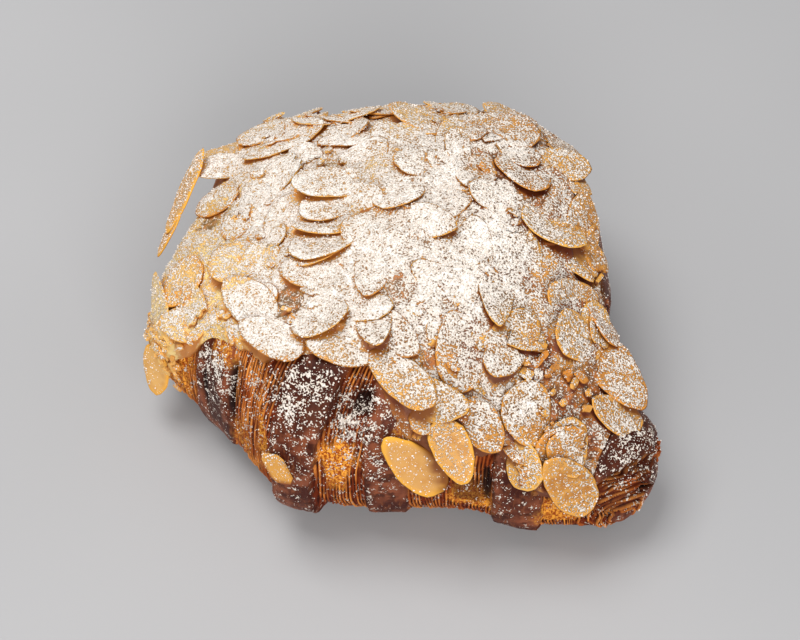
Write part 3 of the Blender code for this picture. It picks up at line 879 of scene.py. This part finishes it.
def spread_over(made, count, draw):
    """Places and normals of grains on one piece, more of them where more sugar lies."""
    points, triangles = mesh_arrays(made.data)
    sugar = corner_values(made.data, "sugar")
    first, second, third = (points[triangles[:, side]] for side in range(3))
    cross = np.cross(second - first, third - first)
    weight = np.linalg.norm(cross, axis=1)
    weight = weight * sugar[triangles].mean(1).clip(0.0) ** GRAIN_GATHER
    chosen = draw.choice(len(triangles), size=count, p=weight / weight.sum())
    share = draw.random((count, 2))
    flip = share.sum(1) > 1.0
    share[flip] = 1.0 - share[flip]
    first, second, third, cross = first[chosen], second[chosen], third[chosen], cross[chosen]
    seats = first + (second - first) * share[:, :1] + (third - first) * share[:, 1:]
    return seats / MM, unit(cross), weight.sum()


def make_sugar(topping, pastry):
    """Grains and clumps of icing sugar on what lies open to the sky."""
    grain = bmesh.new()
    bmesh.ops.create_uvsphere(grain, u_segments=4, v_segments=2, radius=1.0)
    bmesh.ops.triangulate(grain, faces=grain.faces)
    bmesh.ops.recalc_face_normals(grain, faces=grain.faces)
    template, corners = template_arrays(grain)
    draw = np.random.default_rng(8)
    tries = [spread_over(made, SUGAR_GRAINS, draw) for made in topping]
    total = sum(part[2] for part in tries)
    seats = []
    ups = []
    for seat, up, weight in tries:
        count = int(SUGAR_GRAINS * weight / total)
        seats.append(seat[:count])
        ups.append(up[:count])
    seat, up, _ = spread_over(pastry, CRUST_GRAINS, draw)
    seats = np.concatenate(seats + [seat])
    ups = np.concatenate(ups + [up])
    count = len(seats)
    size = GRAIN_SIZE[0] + GRAIN_SIZE[1] * draw.random((count, 1)) ** 2.0
    stretch = size * (0.7 + 0.6 * draw.random((count, 3)))
    turns = draw.random(count) * 2.0 * math.pi
    cosine, sine = np.cos(turns)[:, None], np.sin(turns)[:, None]
    x, y, z = template.T
    turned = np.stack((
        x * cosine - y * sine,
        x * sine + y * cosine,
        np.broadcast_to(z, (count, len(template))),
    ), -1)
    lumps = 1.0 + 0.4 * (draw.random((count, len(template), 1)) - 0.5)
    shapes = turned * lumps * stretch[:, None, :] + (seats + ups * size * 0.45)[:, None, :]
    shapes[:, :, 2] = np.maximum(shapes[:, :, 2], 0.0)
    return joined_mesh("icing_sugar", list(shapes), corners, {})


# --- materials --------------------------------------------------------------------------
def colour(red, green, blue):
    """A colour as it looks on screen, 0 to 255, turned to linear light."""
    shares = [value / 255.0 for value in (red, green, blue)]
    linear = [s / 12.92 if s <= 0.04045 else ((s + 0.055) / 1.055) ** 2.4 for s in shares]
    return (*linear, 1.0)


class Value:
    """A shader value; arithmetic on it adds Math nodes to its tree."""

    def __init__(self, finish, socket):
        self.finish = finish
        self.socket = socket

    def maths(self, operation, *others, clamp=False):
        return self.finish.node(
            "ShaderNodeMath", {"operation": operation, "use_clamp": clamp},
            {number: value for number, value in enumerate((self,) + others)},
        )

    def __add__(self, other):
        return self.maths("ADD", other)

    __radd__ = __add__

    def __mul__(self, other):
        return self.maths("MULTIPLY", other)

    __rmul__ = __mul__

    def __sub__(self, other):
        return self.maths("SUBTRACT", other)

    def __rsub__(self, other):
        return (self * -1.0) + other

    def __pow__(self, other):
        return self.maths("POWER", other)

    def step(self, low, high):
        """0 below low, 1 above high, smooth between; either may be a value."""
        return self.finish.node(
            "ShaderNodeMapRange", {"interpolation_type": "SMOOTHSTEP"},
            {"Value": self, "From Min": low, "From Max": high},
        )


class Finish:
    """One procedural material."""

    def __init__(self, name):
        self.material = bpy.data.materials.new(name)
        self.material.use_nodes = True
        self.tree = self.material.node_tree
        self.shader = self.tree.nodes["Principled BSDF"]
        self.place = self.node("ShaderNodeTexCoord", {}, {}, "Object")

    def node(self, kind, settings, inputs, output=0):
        made = self.tree.nodes.new(kind)
        for name, value in settings.items():
            setattr(made, name, value)
        for key, value in inputs.items():
            self.join(value, made.inputs[key])
        return Value(self, made.outputs[output])

    def join(self, value, socket):
        if isinstance(value, Value):
            self.tree.links.new(value.socket, socket)
        else:
            socket.default_value = value

    def set(self, **inputs):
        for name, value in inputs.items():
            self.join(value, self.shader.inputs[name.replace("_", " ")])

    def grain(self, size, detail=2.0, roughness=0.5, stretch=None):
        """Noise whose features are about size millimetres across."""
        place = self.place
        if stretch:
            place = self.node("ShaderNodeMapping", {}, {"Vector": place, "Scale": stretch})
        return self.node(
            "ShaderNodeTexNoise", {},
            {"Vector": place, "Scale": 1.0 / (size * MM), "Detail": detail, "Roughness": roughness},
        )

    def value(self, name):
        return self.node("ShaderNodeAttribute", {"attribute_name": name}, {}, "Fac")

    def mix(self, share, first, second):
        made = self.tree.nodes.new("ShaderNodeMix")
        made.data_type = "RGBA"
        self.join(share, made.inputs["Factor"])
        self.join(first, made.inputs[6])
        self.join(second, made.inputs[7])
        return Value(self, made.outputs[2])

    def bump(self, height, strength, distance, under=None):
        inputs = {"Height": height, "Strength": strength, "Distance": distance * MM}
        if under:
            inputs["Normal"] = under
        return self.node("ShaderNodeBump", {}, inputs, "Normal")


SUGAR_WHITE = colour(253, 247, 242)
SUGAR_SHADE = colour(248, 236, 222)


def dust(finish, base, roughness, relief, strength, cover, gap, haze, clumps=4.4):
    """Icing sugar over a base: specks where it is thin, a rough coat where it is thick, and painted
    shade on the base between thick sugar and right beside each speck.
    """
    banks = finish.grain(8.0, 2.0, 0.5)
    cover = cover * ((banks - 0.5) * 0.9 + 1.0)
    fine = finish.grain(0.55, 2.0, 0.5)
    clump = finish.grain(2.2, 2.0, 0.55)
    field = (fine - 0.5) * 8.0 + (clump - 0.5) * clumps
    level = 2.2 - cover * 3.7
    above = field - level
    mask = above.step(-0.06, 0.14)
    # Where the sugar lies thick, the base seen between the grains takes the gap colour: painted
    # shade between the grains, over the base's own colour.
    thick = cover.step(0.55, 0.85)
    gaps = finish.mix(thick * 0.85, base, gap)
    # Painted shadow: the base is darkened towards a deep brown right beside each speck of sugar, as
    # if the speck shaded it.
    near = above.step(-1.2, -0.1) * cover.step(0.15, 0.5)
    deep = finish.mix(0.6, gap, colour(36, 15, 7))
    shaded = finish.mix(near, gaps, finish.mix(0.8, gaps, deep))
    powder = finish.mix(above.step(0.0, 1.4), SUGAR_SHADE, SUGAR_WHITE)
    shaded = finish.mix(cover.step(0.1, 1.0) * haze[0], shaded, haze[1])
    finish.set(Base_Color=finish.mix(mask, shaded, powder))
    finish.set(Roughness=roughness + mask * (0.95 - roughness))
    under = finish.bump(relief, strength, 0.25)
    finish.set(Normal=finish.bump(above.step(-0.4, 2.2), 1.0, 0.42, under))


def between_grains(finish, toast):
    """Colour of the gaps, darkened as painted shade between the sugar grains, and haze of the
    finest sugar: creamy at the left, then browner.
    """
    gap = finish.mix(toast, colour(176, 108, 34), colour(82, 48, 26))
    return gap, (toast * -0.22 + 0.24, finish.mix(toast, colour(250, 214, 140), SUGAR_SHADE))


def crust_finish():
    finish = Finish("baked_crust")
    smooth = finish.value("smooth")
    sheet = finish.value("sheet")
    level = finish.value("level")
    golden = finish.value("golden")
    patches = finish.grain(9.0, 3.0, 0.55)
    blots = finish.grain(3.2, 3.0, 0.6)
    fine = finish.grain(0.8, 3.0, 0.6)
    streaks = finish.grain(1.0, 3.0, 0.6, stretch=(1.0, 0.22, 0.22))
    skin_colour = finish.mix(patches.step(0.36, 0.64), colour(66, 21, 8), colour(132, 72, 47))
    skin_colour = finish.mix(streaks.step(0.5, 0.68) * 0.5, skin_colour, colour(140, 80, 46))
    skin_colour = finish.mix(blots.step(0.50, 0.68) * 0.8, skin_colour, colour(50, 13, 3))
    ridge = finish.mix(patches.step(0.36, 0.62), colour(168, 80, 24), colour(226, 144, 66))
    # Lower sheets and the grooves between the sheets are darker: partly their own deeper brown,
    # partly painted shade in the recesses.
    ridge = finish.mix(level.step(0.15, 0.75), colour(112, 40, 8), ridge)
    groove = finish.mix(blots.step(0.4, 0.6), colour(58, 13, 2), colour(112, 40, 8))
    edges = finish.mix(sheet.step(0.35, 0.95), groove, ridge)
    edges = finish.mix(streaks.step(0.54, 0.70) * 0.7, edges, colour(44, 14, 6))
    honey = finish.mix(fine.step(0.42, 0.60), colour(160, 72, 10), colour(252, 176, 66))
    edges = finish.mix(golden, edges, honey)
    base = finish.mix(smooth.step(0.35, 0.75), edges, skin_colour)
    base = finish.mix(golden * smooth * 0.6, base, honey)
    base = finish.mix(finish.value("burnt") * 0.9, base, finish.mix(0.85, base, colour(52, 14, 3)))
    # Painted shade: the slits are darkened nearly to black, as if in shadow.
    base = finish.mix(finish.value("slit").step(0.25, 0.8) * 0.9, base, colour(24, 6, 3))
    roughness = 0.60 - smooth * 0.16 + fine * 0.16
    finish.shader.inputs["Specular IOR Level"].default_value = 0.16
    # The gap colour given here is the crust seen between thick sugar: its own dark brown, with
    # painted shade between the grains.
    dust(finish, base, roughness, fine * 0.6 + blots * 0.4, 0.6, finish.value("sugar"),
         colour(62, 28, 16), (0.0, SUGAR_SHADE), 9.5)
    return finish.material


def cream_finish():
    finish = Finish("baked_almond_cream")
    toast = finish.value("toast")
    patches = finish.grain(10.0, 3.0, 0.55)
    blots = finish.grain(2.4, 3.0, 0.6)
    fine = finish.grain(0.7, 3.0, 0.65)
    pale = finish.mix(patches.step(0.38, 0.60), colour(250, 226, 156), colour(238, 188, 96))
    brown = finish.mix(patches.step(0.38, 0.60), colour(210, 148, 64), colour(152, 84, 26))
    base = finish.mix(toast, pale, brown)
    blot = finish.mix(toast, colour(206, 140, 54), colour(150, 72, 22))
    base = finish.mix(blots.step(0.54, 0.72) * 0.8, base, blot)
    crisp = finish.mix(blots.step(0.38, 0.60), colour(176, 96, 32), colour(62, 22, 9))
    base = finish.mix(finish.value("toasted").step(0.1, 0.8) * 0.85, base, crisp)
    # Painted shade: where the cream sees little open sky, under flakes and other things, its colour
    # is darkened towards a deep brown.
    out_of_shade = finish.value("open").step(0.1, 0.9)
    painted_shade = finish.mix(toast, colour(184, 104, 26), colour(92, 30, 5))
    base = finish.mix(out_of_shade, finish.mix(0.9, base, painted_shade), base)
    gap, haze = between_grains(finish, toast)
    dust(finish, base, 0.52 + fine * 0.1, fine * 0.5 + blots * 0.8, 0.8,
         finish.value("sugar"), gap, haze)
    return finish.material


def almond_finish():
    finish = Finish("toasted_almond")
    tone = finish.value("tone")
    rim = finish.value("rim")
    clean = finish.value("clean")
    veins = finish.grain(3.0, 3.0, 0.5)
    fine = finish.grain(0.6, 3.0, 0.6)
    toast = finish.value("toast")
    pale = finish.mix(tone, colour(250, 224, 160), colour(242, 200, 122))
    brown = finish.mix(tone, colour(228, 174, 90), colour(192, 128, 50))
    heart = finish.mix(toast, pale, brown)
    heart = finish.mix(clean.step(0.0, 0.5), heart, colour(212, 160, 92))
    heart = finish.mix(veins.step(0.45, 0.7) * 0.35, heart, colour(186, 122, 52))
    browned = finish.value("toasted") * veins.step(0.34, 0.56)
    heart = finish.mix(browned * 0.8, heart, colour(140, 70, 22))
    border = finish.mix(tone, colour(240, 184, 88), colour(206, 130, 46))
    border = finish.mix(clean.step(0.0, 0.5), border, colour(244, 178, 54))
    base = finish.mix(rim.step(0.70, 1.0) * 0.85, heart, border)
    # Painted shade: flakes and bits that lie under others, seeing little open sky, are darkened
    # towards a deep orange-brown.
    out_of_shade = finish.value("open").step(0.1, 0.9)
    painted_shade = finish.mix(toast, colour(204, 126, 38), colour(104, 38, 6))
    base = finish.mix(out_of_shade, finish.mix(0.85, base, painted_shade), base)
    cover = finish.value("sugar") * (1.0 - clean)
    finish.shader.inputs["Specular IOR Level"].default_value = 0.25
    gap, haze = between_grains(finish, toast)
    dust(finish, base, 0.42 + fine * 0.12, fine * 0.4 + veins * 0.6, 0.35, cover, gap, haze)
    return finish.material


def sugar_finish():
    finish = Finish("icing_sugar")
    fine = finish.grain(0.5, 2.0, 0.6)
    finish.set(Base_Color=finish.mix(fine.step(0.3, 0.7), colour(240, 229, 219), SUGAR_WHITE))
    finish.shader.inputs["Roughness"].default_value = 0.95
    return finish.material


def floor_finish():
    finish = Finish("pale_floor")
    drift = finish.grain(260.0, 2.0, 0.5)
    pale, paler = colour(168, 170, 175), colour(176, 178, 183)
    finish.set(Base_Color=finish.mix(drift.step(0.3, 0.7), pale, paler))
    finish.shader.inputs["Roughness"].default_value = 0.9
    return finish.material


# --- camera, floor and lights -----------------------------------------------------------
def make_camera():
    azimuth = math.radians(VIEW_AZIMUTH)
    elevation = math.radians(VIEW_ELEVATION)
    away = Vector((
        math.sin(azimuth) * math.cos(elevation),
        -math.cos(azimuth) * math.cos(elevation),
        math.sin(elevation),
    ))
    data = bpy.data.cameras.new("camera")
    data.lens = LENS
    data.clip_start = 0.01
    made = bpy.data.objects.new("camera", data)
    made.location = VIEW_TARGET + away * VIEW_DISTANCE
    made.rotation_euler = (-away).to_track_quat("-Z", "Y").to_euler()
    bpy.context.scene.collection.objects.link(made)
    bpy.context.scene.camera = made


def make_light(name, place, size, power, tint):
    data = bpy.data.lights.new(name, "AREA")
    data.size = size
    data.energy = power
    data.color = tint
    made = bpy.data.objects.new(name, data)
    made.location = place
    made.rotation_euler = (LIGHT_TARGET - Vector(place)).to_track_quat("-Z", "Y").to_euler()
    bpy.context.scene.collection.objects.link(made)


def make_studio():
    ground = bmesh.new()
    bmesh.ops.create_grid(ground, x_segments=2, y_segments=2, size=FLOOR_HALF_WIDTH)
    mesh = bpy.data.meshes.new("floor")
    ground.to_mesh(mesh)
    ground.free()
    floor = piece("floor", mesh)
    floor.data.materials.append(floor_finish())
    world = bpy.data.worlds.new("studio")
    world.use_nodes = True
    sky = world.node_tree.nodes["Background"]
    sky.inputs["Color"].default_value = SKY_TINT
    sky.inputs["Strength"].default_value = SKY_STRENGTH
    bpy.context.scene.world = world
    bpy.context.scene.view_settings.view_transform = "Standard"
    for light in LIGHTS:
        make_light(*light)


def dress(made, finish):
    made.data.materials.clear()
    made.data.materials.append(finish)
    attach(made, "root")


make_camera()
make_studio()
pastry = make_pastry()
cream = make_cream()
flakes = make_flakes()
bits = make_slivers()
sift([pastry, cream, flakes, bits])
sugar = make_sugar([cream, flakes, bits], pastry)

dress(pastry, crust_finish())
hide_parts("croissant")
dress(cream, cream_finish())
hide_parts("almond_topping")
almond = almond_finish()
dress(flakes, almond)
dress(bits, almond)
dress(sugar, sugar_finish())

bpy.context.view_layer.update()
